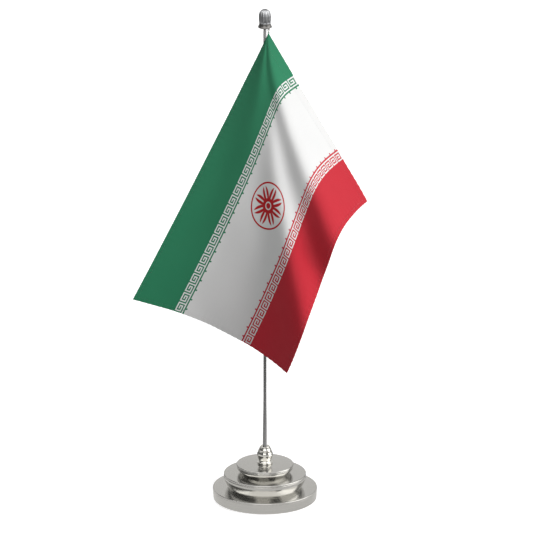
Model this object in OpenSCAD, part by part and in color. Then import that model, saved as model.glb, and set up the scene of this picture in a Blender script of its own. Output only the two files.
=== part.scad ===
// Desk flag stand: a three-tier turned base, a slim pole in a turned socket,
// a swivelling collar under a fluted finial, and a small flag hung by one corner.
// Millimetres, +Z up. The origin is the centre of the face it stands on, and -Y is the front.

/* [Base] */
// Diameter of the bottom tier
bottom_d = 80; // [66:1:100]
// Height of the bottom tier
bottom_h = 8.6; // [7.8:0.1:12]
// Diameter of the middle tier at its lip
middle_d = 63; // [53:1:75]
// Height of the middle tier
middle_h = 11.4; // [8:0.1:16]
// Diameter of the top tier at its lip
top_d = 43.6; // [34:0.2:52]
// Height of the top tier
top_h = 7.5; // [5:0.1:12]
// How far the foot of a tier is set in from its lip, on the radius
tier_undercut = 3.6; // [2:0.1:5]
// Height of the straight lip at the top of a tier
lip_h = 1.5; // [0.8:0.1:2.5]
// Rounding of a lip's edge
lip_round = 0.5; // [0.2:0.1:0.7]
// Diameter of the spigot that centres one tier on the next
spigot_d = 20; // [16:0.5:24]
// Height of that spigot
spigot_h = 1.2; // [0.6:0.1:2]
// Clearance round a centring spigot, on the radius
spigot_gap = 0.05; // [0.03:0.01:0.1]
// Gap above a centring spigot in its recess
spigot_end_gap = 0.2; // [0.1:0.05:0.4]

/* [Foot pad] */
// Margin between the pad and the edge of the bottom tier
pad_margin = 4; // [2:0.5:8]
// Thickness of the foot pad
pad_t = 1.6; // [1.3:0.1:2]
// How far the pad stands below the bottom tier
pad_proud = 0.5; // [0.3:0.1:0.9]
// Clearance round the pad in its recess, on the radius
pad_gap = 0.3; // [0.1:0.1:0.5]

/* [Fixing under the base] */
// Diameter of the socket's threaded shank
shank_d = 6; // [5.4:0.1:8]
// Clearance round the shank in the tiers, on the radius
shank_gap = 0.2; // [0.1:0.05:0.4]
// Clearance between nut and shank, standing in for the thread, on the radius
thread_gap = 0.03; // [0.02:0.01:0.08]
// Width of the clamp nut across its flats
nut_flats = 10; // [9.5:0.5:13]
// Height of the clamp nut
nut_h = 2.8; // [2.4:0.1:3.2]
// Diameter of the flat washer
washer_d = 12; // [11:0.5:15]
// Thickness of the flat washer
washer_t = 1; // [0.6:0.1:1.2]
// Diameter of the split lock washer
lock_d = 10.4; // [9.6:0.2:13]
// Thickness of the split lock washer
lock_t = 1.3; // [1:0.1:1.5]
// Clearance round the washers in the counterbore, on the radius
counterbore_gap = 1.2; // [0.8:0.1:2]
// Gap between the nut and the foot pad
nut_clear = 0.3; // [0.2:0.1:0.5]

/* [Socket] */
// Height of the socket above the base
socket_h = 14.2; // [12:0.2:20]
// Diameter of the socket's foot
socket_foot_d = 11.7; // [10.6:0.1:14]
// Diameter of the waist above the foot
socket_waist_d = 9.3; // [8:0.1:11]
// Diameter of the bulge
socket_bulge_d = 11.9; // [11:0.1:14]
// Diameter of the socket's mouth
socket_mouth_d = 7; // [6.6:0.1:9]
// Depth of the pole's bore, from the mouth
bore_depth = 34; // [24:1:36]
// Depth of the grip ring's groove into the wall of the bore
groove_cut = 0.9; // [0.7:0.05:1]
// Width of that groove
groove_w = 1.3; // [1:0.1:1.6]
// Depth of the groove below the mouth
groove_depth = 3.2; // [2.4:0.2:5]

/* [Pole] */
// Height of the pole's shoulder above the base of the stand
shoulder_z = 381; // [320:1:460]
// Diameter of the pole at its foot
pole_foot_d = 3.3; // [2.7:0.05:4]
// Diameter of the pole above its taper
pole_d = 2.4; // [2.1:0.1:2.7]
// Length of the taper above the socket
taper_len = 44; // [30:1:60]
// Clearance of the pole in its socket, on the radius
pole_gap = 0.05; // [0.03:0.01:0.1]
// Diameter of the threaded tip
tip_d = 1.8; // [1.5:0.1:1.9]
// Length of the threaded tip above the shoulder
tip_len = 11; // [9:0.5:12]

/* [Collar and finial] */
// Diameter of the swivel washer
swivel_d = 4.4; // [3.6:0.1:6]
// Thickness of the swivel washer
swivel_t = 0.4; // [0.3:0.1:0.8]
// Diameter of the collar's flared lower rim
collar_rim_d = 10.6; // [10.2:0.1:13]
// Diameter of the collar's top
collar_top_d = 8.8; // [7.6:0.1:9.2]
// Height of the collar
collar_h = 3.1; // [2.6:0.1:4]
// Running clearance of collar and finial on the tip, on the radius
tip_gap = 0.05; // [0.03:0.01:0.1]
// Gap between collar and finial
finial_gap = 0.3; // [0.2:0.05:0.5]
// Diameter of the finial
finial_d = 9.5; // [8.2:0.1:11]
// Height of the finial
finial_h = 11.2; // [9.6:0.2:14]
// Number of flutes on the finial
flutes = 12; // [8:1:14]
// Diameter of the cutter that makes a flute
flute_d = 1.3; // [1:0.1:1.5]

/* [Hanging ring] */
// Distance of the eye to the right of the pole's axis
eye_x = 2.8; // [2.4:0.1:3]
// Distance of the eye in front of the pole's axis
eye_y = 3.8; // [3.6:0.1:3.9]
// Diameter of the eye
eye_d = 1.9; // [1.8:0.1:2]
// Bore of the eye
eye_bore = 0.9; // [0.85:0.05:1]
// Thickness of the eye
eye_t = 0.8; // [0.6:0.1:0.9]
// Distance from the collar down to the eye's bore
eye_drop = 0.45; // [0.4:0.05:0.5]
// Radius of the ring's wire circle
ring_r = 1.25; // [1.2:0.05:1.5]
// Diameter of the ring's wire
wire_d = 0.5; // [0.4:0.05:0.55]
// Outer diameter of the sewn loop round the ring
loop_d = 1.5; // [1.4:0.1:1.7]
// Width of the sewn loop
loop_w = 1; // [0.8:0.1:1.2]
// Inner diameter of the sewn loop
loop_bore = 0.9; // [0.85:0.05:1]
// Length of the loop's tab over the flag's corner
tab_len = 3.2; // [2.5:0.1:4]

/* [Flag] */
// Hoist of the flag, the short side
flag_hoist = 155; // [130:1:185]
// Fly of the flag, the long side
flag_fly = 237; // [198:1:284]
// Thickness of the flag solid
flag_t = 0.5; // [0.4:0.1:0.8]
// Angle from straight down to the flag's top edge, to the left
top_edge_angle = 26; // [20:0.1:32]
// Angle from straight down to the flag's hoist edge, to the right
hoist_edge_angle = 29.2; // [24:0.1:36]
// Depth of the soft folds against the way it hangs
fold_depth = 1; // [0.8:0.05:1.2]
// Share of its length that the cloth loses to slack in its middle
slack = 0.07; // [0.04:0.01:0.1]

/* [Hidden] */
$fn = 96;
small = 0.01; // overlap that makes two shapes one solid
past = 1; // how far a cutter runs past what it cuts
wall_edge = 0.4; // how far the bottom tier's foot is set in from its lip
edge_break = 0.3; // small bevel on turned edges
thread_start = 0.2; // from the nut's underside up to the end of the shank
pole_end_gap = 0.4; // from the floor of the bore up to the pole's end
finial_end_gap = 0.6; // from the pole's tip up to the end of the finial's bore
ring_slack = 0.05; // how far the ring hangs clear of the top of the eye
corner_overlap = 0.45; // how far the flag's corner reaches up into the loop
taper_lead = 0.5; // from the socket's mouth up to the start of the pole's taper
eye_root = 0.5; // how far the eye's stem runs up into the collar

// Levels up the base
bottom_z = pad_proud;
middle_z = bottom_z + bottom_h;
top_z = middle_z + middle_h;
socket_z = top_z + top_h;
mouth_z = socket_z + socket_h;

// Fixing
washer_z = pad_t + nut_clear + nut_h + lock_t; // underside of the flat washer
nut_z = pad_t + nut_clear;
counterbore_top = washer_z + washer_t;
shank_hole_d = shank_d + 2 * shank_gap;
pole_bore_d = pole_foot_d + 2 * pole_gap;
bore_z = mouth_z - bore_depth;
groove_d = pole_bore_d + 2 * groove_cut;

// Top of the pole
collar_z = shoulder_z + swivel_t;
finial_z = collar_z + collar_h + finial_gap;
tip_bore_d = tip_d + 2 * tip_gap;
eye_z = collar_z - eye_drop - eye_bore / 2;
ring_z = eye_z + (eye_bore - wire_d) / 2 - ring_r - ring_slack;
loop_z = ring_z - ring_r;
flag_top = [eye_x, -eye_y, loop_z - loop_d / 2 + corner_overlap];

// Flag: every straight line from the hanging corner is a ray of the cloth.
// cloth_angle is the ray's angle in the flat cloth, 0 along the fly and 90 along the hoist.
middle_distance = 150;
shear_angle = 5.7;
shear_skew = -1.1;
sway_bulge = 6.9;
sway_skew = -0.7;
depth_at_fly = -8.5;
depth_change = 8.3;
depth_bulge = 18;
// Each soft fold: cloth angle of its middle, how far it reaches, depth angle, growth of that with distance
folds = [[40.8, 13.9, 11.4, 6.8], [39, 8, -6.3, -8], [17.4, 20.2, 10.2, 7.4]];
fly_cells = 26;
hoist_cells = 18;

// Angle of a ray from straight down, seen from the front, at a distance from the corner
function sway(cloth_angle, distance) =
    let (t = cloth_angle / 90, arch = sin(180 * t), skew = sin(360 * t))
    -top_edge_angle + (top_edge_angle + hoist_edge_angle) * t
        + sway_bulge * arch + sway_skew * skew
        + (shear_angle * arch + shear_skew * skew) * ln((distance + 1) / middle_distance);

// What one soft fold adds to the depth angle
function fold(f, cloth_angle, distance) =
    (f[2] + f[3] * (distance / middle_distance - 1)) * exp(-pow((cloth_angle - f[0]) / f[1], 2));

// Angle of a ray towards the back, which makes the folds
function depth(cloth_angle, distance) =
    let (t = cloth_angle / 90)
    depth_at_fly + depth_change * t - depth_bulge * sin(180 * t)
        + fold_depth * (fold(folds[0], cloth_angle, distance) + fold(folds[1], cloth_angle, distance)
        + fold(folds[2], cloth_angle, distance));

// Point of the cloth at a distance along the fly and a distance along the hoist
function cloth_point(along_fly, along_hoist) =
    let (distance = norm([along_fly, along_hoist]),
        cloth_angle = distance < small ? 45 : atan2(along_hoist, along_fly),
        reach = distance * (1 - slack * sin(2 * cloth_angle)),
        a = sway(cloth_angle, distance),
        d = depth(cloth_angle, distance))
    flag_top + reach * [cos(d) * sin(a), sin(d), -cos(d) * cos(a)];

// Outline of a turned tier: foot, undercut side, straight lip and rounded edge
module tier_outline(foot_r, lip_r, h) {
    steps = 8;
    side_h = h - lip_h;
    polygon(concat(
        [[0, 0], [foot_r, 0]],
        [for (i = [1:steps]) let (t = i / steps) [foot_r + (lip_r - foot_r) * sin(90 * t), side_h * t]],
        [for (i = [0:4]) let (a = 90 * i / 4)
            [lip_r - lip_round + lip_round * cos(a), h - lip_round + lip_round * sin(a)]],
        [[0, h]]
    ));
}

// One tier of the base, with its centring spigot and the hole for the shank
module tier(foot_r, lip_r, h, z, has_spigot, has_recess) {
    translate([0, 0, z])
        difference() {
            union() {
                rotate_extrude() tier_outline(foot_r, lip_r, h);
                if (has_spigot) translate([0, 0, h - small]) cylinder(d = spigot_d, h = spigot_h + small);
            }
            translate([0, 0, -past]) cylinder(d = shank_hole_d, h = h + spigot_h + 2 * past);
            if (has_recess)
                translate([0, 0, -past])
                    cylinder(r = spigot_d / 2 + spigot_gap, h = spigot_h + spigot_end_gap + past);
        }
}

// A flat ring
module ring_plate(outer_d, inner_d, t) {
    difference() {
        cylinder(d = outer_d, h = t);
        translate([0, 0, -past]) cylinder(d = inner_d, h = t + 2 * past);
    }
}

module foot_pad() {
    color("dimgray") cylinder(r = bottom_d / 2 - pad_margin, h = pad_t);
}

module bottom_tier() {
    recess_r = bottom_d / 2 - pad_margin + pad_gap;
    color("silver")
        difference() {
            tier(bottom_d / 2 - wall_edge, bottom_d / 2, bottom_h, bottom_z, true, false);
            translate([0, 0, -past]) cylinder(r = recess_r, h = pad_t + past);
            cylinder(r = washer_d / 2 + counterbore_gap, h = counterbore_top);
        }
}

module middle_tier() {
    color("silver")
        tier(middle_d / 2 - tier_undercut, middle_d / 2, middle_h, middle_z, true, true);
}

module top_tier() {
    color("silver")
        tier(top_d / 2 - tier_undercut, top_d / 2, top_h, top_z, false, true);
}

module flat_washer() {
    color("lightgray") translate([0, 0, washer_z]) ring_plate(washer_d, shank_hole_d, washer_t);
}

// Split lock washer, flattened by the nut
module lock_washer() {
    split_w = 0.6;
    color("gray")
        translate([0, 0, washer_z - lock_t])
            difference() {
                ring_plate(lock_d, shank_hole_d, lock_t);
                rotate([0, 0, 30])
                    translate([0, -split_w / 2, -past]) cube([lock_d, split_w, lock_t + 2 * past]);
            }
}

module clamp_nut() {
    nut_across_corners = nut_flats / cos(30);
    color("gray")
        translate([0, 0, nut_z])
            difference() {
                cylinder(d = nut_across_corners, h = nut_h, $fn = 6);
                translate([0, 0, -past]) cylinder(r = shank_d / 2 + thread_gap, h = nut_h + 2 * past);
            }
}

// Turned socket: foot, waist, bulge, two-step cone and mouth, with its shank through the base
module socket_outline() {
    foot_r = socket_foot_d / 2;
    waist_r = socket_waist_d / 2;
    bulge_r = socket_bulge_d / 2;
    mouth_r = socket_mouth_d / 2;
    step_r = mouth_r + (bulge_r - mouth_r) * 0.55;
    shank_r = shank_d / 2;
    shank_z = nut_z + thread_start;
    foot_h = 1.5;
    waist_z = 2.4;
    bulge_z = 7.6;
    step_z = socket_h - 3.6;
    polygon(concat(
        [[0, shank_z], [shank_r - edge_break, shank_z], [shank_r, shank_z + edge_break], [shank_r, socket_z]],
        [for (p = [[foot_r - edge_break, 0], [foot_r, edge_break], [foot_r, foot_h - edge_break],
            [foot_r - edge_break, foot_h], [waist_r, waist_z]]) [p[0], socket_z + p[1]]],
        [for (i = [1:8]) let (t = i / 8)
            [waist_r + (bulge_r - waist_r) * sin(90 * t), socket_z + waist_z + (bulge_z - waist_z) * t]],
        [for (p = [[bulge_r, bulge_z + 0.9], [step_r + 0.5, step_z - 0.3],
            [step_r, step_z], [step_r, step_z + 0.6],
            [mouth_r + 0.5, socket_h - 1.1], [mouth_r, socket_h - 0.7], [mouth_r, socket_h - 0.2],
            [mouth_r - 0.2, socket_h], [0, socket_h]]) [p[0], socket_z + p[1]]]
    ));
}

module socket() {
    color("gainsboro")
        difference() {
            rotate_extrude() socket_outline();
            translate([0, 0, bore_z]) cylinder(d = pole_bore_d, h = bore_depth + past);
            translate([0, 0, mouth_z - groove_depth - groove_w / 2]) cylinder(d = groove_d, h = groove_w);
        }
}

// Rubber ring in the socket's groove, just clear of the pole
module grip_ring() {
    cord_gap = 0.02;
    cord_d = groove_cut - 2 * cord_gap;
    color("black")
        translate([0, 0, mouth_z - groove_depth])
            rotate_extrude()
                translate([pole_bore_d / 2 + cord_gap + cord_d / 2, 0]) circle(d = cord_d, $fn = 32);
}

module pole() {
    foot_z = bore_z + pole_end_gap;
    taper_z = mouth_z + taper_lead;
    tip_z = shoulder_z + tip_len;
    foot_r = pole_foot_d / 2;
    rod_r = pole_d / 2;
    tip_r = tip_d / 2;
    color("darkgray")
        rotate_extrude()
            polygon([[0, foot_z], [foot_r - edge_break, foot_z], [foot_r, foot_z + edge_break],
                [foot_r, taper_z], [rod_r, mouth_z + taper_len], [rod_r, shoulder_z], [tip_r, shoulder_z],
                [tip_r, tip_z - edge_break], [tip_r - edge_break, tip_z], [0, tip_z]]);
}

module swivel_washer() {
    color("white") translate([0, 0, shoulder_z]) ring_plate(swivel_d, tip_bore_d, swivel_t);
}

// Flared collar that turns on the pole's tip, with the eye under its front
module hanger_collar() {
    rim_r = collar_rim_d / 2;
    crown_r = collar_top_d / 2;
    rim_h = 0.7;
    crown_edge = 0.2;
    stem_h = collar_z + eye_root - eye_z;
    color("silver")
        difference() {
            union() {
                translate([0, 0, collar_z])
                    rotate_extrude()
                        polygon(concat(
                            [[0, 0], [rim_r - edge_break, 0], [rim_r, edge_break], [rim_r, rim_h]],
                            [for (i = [1:6]) let (t = i / 6)
                                [crown_r + (rim_r - crown_r) * pow(1 - t, 2),
                                    rim_h + (collar_h - rim_h - crown_edge) * t]],
                            [[crown_r - crown_edge, collar_h], [0, collar_h]]));
                translate([eye_x, -eye_y + eye_t / 2, eye_z])
                    rotate([90, 0, 0]) cylinder(d = eye_d, h = eye_t, $fn = 48);
                translate([eye_x - eye_d / 2, -eye_y - eye_t / 2, eye_z]) cube([eye_d, eye_t, stem_h]);
            }
            translate([0, 0, collar_z - past]) cylinder(d = tip_bore_d, h = collar_h + 2 * past);
            translate([eye_x, -eye_y + eye_t, eye_z])
                rotate([90, 0, 0]) cylinder(d = eye_bore, h = 2 * eye_t, $fn = 48);
        }
}

// Fluted dome nut: a ribbed barrel under a round top
module finial() {
    finial_r = finial_d / 2;
    barrel_h = finial_h - finial_r;
    bore_h = shoulder_z + tip_len + finial_end_gap - finial_z;
    foot_h = 1;
    foot_edge = 0.5;
    color("silver")
        translate([0, 0, finial_z])
            difference() {
                rotate_extrude()
                    polygon(concat(
                        [[0, 0], [finial_r - foot_edge, 0], [finial_r, foot_edge]],
                        [for (i = [0:12]) let (a = 90 * i / 12)
                            [finial_r * cos(a), barrel_h + finial_r * sin(a)]]));
                translate([0, 0, -past]) cylinder(d = tip_bore_d, h = bore_h + past);
                for (i = [0:flutes - 1])
                    rotate([0, 0, 360 * i / flutes])
                        translate([finial_r + flute_d / 4, 0, foot_h])
                            cylinder(d = flute_d, h = finial_h, $fn = 24);
            }
}

// Small wire ring through the eye
module hanging_ring() {
    color("silver")
        translate([eye_x, -eye_y, ring_z])
            rotate([0, 90, 0])
                rotate_extrude() translate([ring_r, 0]) circle(d = wire_d, $fn = 24);
}

// Tape loop sewn to the flag's corner: a tube round the ring's wire and a tab down the cloth
module corner_loop() {
    color("seagreen")
        difference() {
            union() {
                translate([eye_x, -eye_y + loop_w / 2, loop_z])
                    rotate([90, 0, 0]) cylinder(d = loop_d, h = loop_w, $fn = 48);
                translate([eye_x - loop_d / 2, -eye_y - loop_w / 2, loop_z - tab_len])
                    cube([loop_d, loop_w, tab_len]);
            }
            translate([eye_x, -eye_y + loop_w, loop_z])
                rotate([90, 0, 0]) cylinder(d = loop_bore, h = 2 * loop_w, $fn = 48);
        }
}

// The sheet: a closed slab of two grids of points, joined round its edge
module flag_cloth() {
    row = fly_cells + 1;
    count = row * (hoist_cells + 1);
    half = [0, flag_t / 2, 0];
    face = [for (j = [0:hoist_cells]) for (i = [0:fly_cells])
        cloth_point(flag_fly * i / fly_cells, flag_hoist * j / hoist_cells)];
    points = concat([for (p = face) p - half], [for (p = face) p + half]);
    edge = concat(
        [for (i = [0:fly_cells - 1]) i],
        [for (j = [0:hoist_cells - 1]) j * row + fly_cells],
        [for (i = [fly_cells:-1:1]) hoist_cells * row + i],
        [for (j = [hoist_cells:-1:1]) j * row]);
    cells = [for (j = [0:hoist_cells - 1]) for (i = [0:fly_cells - 1]) j * row + i];
    color("mediumseagreen")
        polyhedron(points, concat(
            [for (c = cells) [c, c + 1, c + row]],
            [for (c = cells) [c + 1, c + row + 1, c + row]],
            [for (c = cells) [count + c, count + c + row, count + c + 1]],
            [for (c = cells) [count + c + 1, count + c + row, count + c + row + 1]],
            [for (k = [0:len(edge) - 1]) let (a = edge[k], b = edge[(k + 1) % len(edge)])
                [b, a, count + a]],
            [for (k = [0:len(edge) - 1]) let (a = edge[k], b = edge[(k + 1) % len(edge)])
                [b, count + a, count + b]]));
}

foot_pad();
bottom_tier();
middle_tier();
top_tier();
flat_washer();
lock_washer();
clamp_nut();
socket();
grip_ring();
pole();
swivel_washer();
hanger_collar();
finial();
hanging_ring();
corner_loop();
flag_cloth();
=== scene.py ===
"""Finished surfaces of a desk flag stand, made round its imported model.

Three turned nickel tiers carry a polished socket and a slim rod. A fluted finial
sits on a swivelling collar, and a printed satin flag hangs from it by one corner.
Lengths are metres, +Z is up and -Y is the front.
"""

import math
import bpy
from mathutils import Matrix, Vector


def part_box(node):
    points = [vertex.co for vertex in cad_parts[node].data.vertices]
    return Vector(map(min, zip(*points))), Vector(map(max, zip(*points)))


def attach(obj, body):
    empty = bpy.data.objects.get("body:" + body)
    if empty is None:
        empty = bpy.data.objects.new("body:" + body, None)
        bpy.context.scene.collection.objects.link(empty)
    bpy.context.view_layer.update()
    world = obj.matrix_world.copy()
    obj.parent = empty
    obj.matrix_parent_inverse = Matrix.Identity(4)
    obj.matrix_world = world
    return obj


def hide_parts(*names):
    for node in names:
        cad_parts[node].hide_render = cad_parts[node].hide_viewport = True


bl_info = {
    "name": "Desk flag stand",
    "version": (1, 0, 0),
    "blender": (4, 5, 0),
    "location": "3D View > Sidebar > Flag stand",
    "description": "Turned base, slim pole and a printed satin flag hung by its corner",
    "category": "Add Mesh",
}

import bpy
import numpy as np
from mathutils import Vector

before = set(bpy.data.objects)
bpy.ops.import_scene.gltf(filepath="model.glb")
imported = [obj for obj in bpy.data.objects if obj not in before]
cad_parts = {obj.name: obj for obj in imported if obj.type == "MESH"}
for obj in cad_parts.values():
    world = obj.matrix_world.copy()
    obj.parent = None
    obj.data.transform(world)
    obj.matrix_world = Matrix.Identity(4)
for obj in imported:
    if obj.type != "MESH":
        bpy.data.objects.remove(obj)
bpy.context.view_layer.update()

MM = 0.001
TURN = 2 * math.pi


# ---------------------------------------------------------------- settings


def length(name, default, description):
    """A bpy property that holds a length in metres."""
    return bpy.props.FloatProperty(
        name=name, default=default, description=description, unit="LENGTH", precision=5
    )


def degrees(name, default, description):
    """A bpy property that holds an angle, given here in degrees."""
    return bpy.props.FloatProperty(
        name=name, default=math.radians(default), description=description, unit="ROTATION"
    )


def angles(name, default, description):
    """A bpy property that holds one angle for each fold, given here in degrees."""
    return bpy.props.FloatVectorProperty(
        name=name,
        default=[math.radians(a) for a in default],
        description=description,
        unit="ROTATION",
        size=len(default),
    )


def number(name, default, description):
    """A bpy property that holds a plain number."""
    return bpy.props.FloatProperty(name=name, default=default, description=description, precision=4)


def tint(name, default, description):
    """A bpy property that holds a linear colour."""
    return bpy.props.FloatVectorProperty(
        name=name, default=default, description=description, subtype="COLOR", size=3, min=0, max=1
    )


class StandMetalSettings(bpy.types.PropertyGroup):
    """Sizes of the turned and fluted metal."""

    undercut: length("Undercut", 3.6 * MM, "How far a tier's foot is set in from its lip")
    wall_edge: length("Wall edge", 0.4 * MM, "How far the bottom tier's foot is set in from its lip")
    lip: length("Lip", 1.5 * MM, "Height of the straight lip on a tier")
    edge: length("Edge rounding", 0.5 * MM, "Rounding of a tier's upper edge")
    shadow_groove: length("Groove", 0.42 * MM, "Depth of the groove under an undercut lip")
    line_groove: length("Line", 0.08 * MM, "Depth of the fine line turned round the bottom tier")
    spigot: length("Spigot", 10 * MM, "Radius of the spigot that centres one tier on the next")
    spigot_gap: length("Spigot gap", 0.05 * MM, "Clearance round a spigot")
    recess: length("Recess", 1.4 * MM, "Depth of the recess that takes a spigot")
    pad_gap: length("Pad gap", 0.3 * MM, "Clearance round the foot pad")
    washer_gap: length("Washer gap", 1.2 * MM, "Clearance round the washers in the counterbore")
    shank: length("Shank", 3 * MM, "Radius of the socket's threaded shank")
    bore_gap: length("Bore gap", 0.2 * MM, "Clearance round the shank")
    socket_foot: length("Socket foot", 5.85 * MM, "Radius of the socket's foot")
    socket_waist: length("Socket waist", 4.65 * MM, "Radius of the waist above the foot")
    socket_mouth: length("Socket mouth", 3.5 * MM, "Radius of the socket's mouth")
    grip_groove: length("Grip groove", 2.6 * MM, "Radius of the groove for the grip ring")
    pole_gap: length("Pole gap", 0.05 * MM, "Clearance of the pole in its bore")
    rod: length("Rod", 1.2 * MM, "Radius of the pole above its taper")
    tip: length("Tip", 0.9 * MM, "Radius of the pole's threaded tip")
    thread_pitch: length("Thread pitch", 0.35 * MM, "Rise of the tip's thread in one turn")
    thread_depth: length("Thread depth", 0.12 * MM, "Depth of the tip's thread")
    taper: length("Taper", 44 * MM, "Length of the pole's taper above the socket")
    collar_crown: length("Collar crown", 4.4 * MM, "Radius of the collar's top")
    eye: length("Eye", 0.69 * MM, "Radius of the circle of the collar's eye")
    eye_wire: length("Eye wire", 0.22 * MM, "Half the thickness of the eye")
    flutes: bpy.props.IntProperty(name="Flutes", default=12, description="Ribs round the finial")
    flute_depth: length("Flute depth", 0.5 * MM, "Depth of the valleys between ribs")
    sides: bpy.props.IntProperty(name="Sides", default=192, description="Steps round a tier")


class StandSheetSettings(bpy.types.PropertyGroup):
    """Cut, drape and print of the flag."""

    fly: length("Fly", 237 * MM, "Long side of the cut")
    hoist: length("Hoist", 155 * MM, "Short side of the cut")
    thickness: length("Thickness", 0.22 * MM, "Thickness of the satin")
    corner_drop: length("Corner drop", 0.3 * MM, "From the middle of the loop down to the cloth's corner")
    hem: length("Hem", 4 * MM, "Width of the folded hem")
    hoist_hem: length("Hoist hem", 8 * MM, "Width of the hem along the hoist")
    hem_rise: length("Hem rise", 0.2 * MM, "How far the folded hem stands off the back")
    stitch_pitch: length("Stitch pitch", 2.4 * MM, "Distance from stitch to stitch")
    top_edge: degrees("Top edge", 26.0, "Angle from straight down to the top edge")
    hoist_edge: degrees("Hoist edge", 29.2, "Angle from straight down to the hoist edge")
    sway_bulge: degrees("Sway bulge", 6.9, "Sideways bulge of the middle rays")
    sway_skew: degrees("Sway skew", -0.7, "Uneven part of the sideways bulge")
    shear: degrees("Shear", 5.7, "Sideways turn of a ray along its length")
    shear_skew: degrees("Shear skew", -1.1, "Uneven part of the shear")
    depth_at_fly: degrees("Depth at the fly", -8.5, "Depth angle of the top edge")
    depth_change: degrees("Depth change", 8.3, "Change of depth angle to the hoist edge")
    depth_bulge: degrees("Depth bulge", 18.0, "How far the middle hangs forward")
    fold_middle: angles("Fold middle", (40.8, 39.0, 17.4), "Cloth angle of each fold's middle")
    fold_reach: angles("Fold reach", (13.9, 8.0, 20.2), "Cloth angle to each side of a fold")
    fold_depth: angles("Fold depth", (11.4, -6.3, 10.2), "Depth angle that each fold adds")
    fold_growth: angles("Fold growth", (6.8, -8.0, 7.4), "Growth of that angle with distance")
    slack: number("Slack", 0.07, "Share of its length that the middle loses to slack")
    stripe_edge: number("Stripe edge", 0.31, "Share of the hoist where the white stripe starts")
    band: number("Band", 0.058, "Share of the hoist that a fret band takes")
    repeats: bpy.props.IntProperty(name="Repeats", default=26, description="Keys along a fret band")
    emblem: length("Emblem", 21 * MM, "Radius of the rosette")


class StandColourSettings(bpy.types.PropertyGroup):
    """Linear colours of the prints and platings."""

    green: tint("Green", (0.022, 0.20, 0.098), "Printed green")
    white: tint("White", (0.80, 0.80, 0.795), "Unprinted satin")
    red: tint("Red", (0.54, 0.020, 0.036), "Printed red")
    rosette: tint("Rosette", (0.50, 0.008, 0.014), "Printed emblem")
    nickel: tint("Nickel", (0.58, 0.573, 0.55), "Satin nickel plate")
    chrome: tint("Chrome", (0.76, 0.75, 0.71), "Polished plate on the socket")
    rod: tint("Rod", (0.34, 0.34, 0.345), "Plated rod")
    finial: tint("Finial", (0.52, 0.53, 0.55), "Plated finial")
    collar: tint("Collar", (0.20, 0.195, 0.19), "Plated collar")
    zinc: tint("Zinc", (0.58, 0.58, 0.55), "Zinc-plated fixings")
    felt: tint("Felt", (0.035, 0.036, 0.04), "Foot pad")


class StandStageSettings(bpy.types.PropertyGroup):
    """Floor, lights and camera."""

    elevation: degrees("Elevation", 19.5, "Angle at which the camera looks down")
    distance: length("Distance", 14.0, "From the camera to the pole")
    view_width: length("View width", 0.4077, "Width of the view at the pole")
    aim_side: length("Aim to the side", 1.2 * MM, "How far right of the pole the view's centre is")
    aim_height: length("Aim height", 188.1 * MM, "Height of the view's centre on the pole")
    floor_size: length("Floor", 40.0, "Side of the square floor")
    floor_glow: number("Floor glow", 0.62, "Brightness that the lit white floor has of its own")
    key_power: number("Key", 29.0, "Watts of the key light on the right")
    fill_power: number("Fill", 14.5, "Watts of the soft light in front")
    back_power: number("Back", 14.0, "Watts of the light behind")
    ambient: number("Ambient", 0.16, "Strength of the light that comes from all round")


# ---------------------------------------------------------------- surfaces


def grid_faces(rows, columns, wrap=False, closed=False):
    """Four-sided faces of a grid of points stored row by row.

    With wrap, the last column joins the first. With closed, the last row joins the first.
    """
    low = np.arange(rows if closed else rows - 1)[:, None]
    left = np.arange(columns if wrap else columns - 1)[None, :]
    high, right = (low + 1) % rows, (left + 1) % columns
    corners = (low * columns + left, low * columns + right, high * columns + right, high * columns + left)
    return np.stack(corners, axis=-1).reshape(-1, 4)


def make_mesh(name, points, face_groups, uv=None, marks=None, sharp=40):
    """A mesh object at the origin from arrays of points and of faces, smooth except at sharp edges."""
    mesh = bpy.data.meshes.new(name)
    points = np.asarray(points, float).reshape(-1, 3)
    corners = np.concatenate([np.asarray(f).reshape(-1) for f in face_groups]).astype(np.int32)
    sizes = np.concatenate([np.full(len(f), np.shape(f)[1]) for f in face_groups]).astype(np.int32)
    starts = np.concatenate(([0], np.cumsum(sizes)[:-1])).astype(np.int32)
    mesh.vertices.add(len(points))
    mesh.vertices.foreach_set("co", points.astype(np.float32).reshape(-1))
    mesh.loops.add(len(corners))
    mesh.loops.foreach_set("vertex_index", corners)
    mesh.polygons.add(len(sizes))
    mesh.polygons.foreach_set("loop_start", starts)
    mesh.polygons.foreach_set("use_smooth", np.ones(len(sizes), bool))
    if uv is not None:
        layer = mesh.uv_layers.new(name="cloth")
        layer.data.foreach_set("uv", np.asarray(uv)[corners].astype(np.float32).reshape(-1))
    for mark, values in (marks or {}).items():
        attribute = mesh.attributes.new(mark, "FLOAT", "POINT")
        attribute.data.foreach_set("value", np.asarray(values, np.float32).reshape(-1))
    mesh.update(calc_edges=True)
    mesh.validate()
    mesh.set_sharp_from_angle(angle=math.radians(sharp))
    made = bpy.data.objects.new(name, mesh)
    bpy.context.scene.collection.objects.link(made)
    return made


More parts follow.
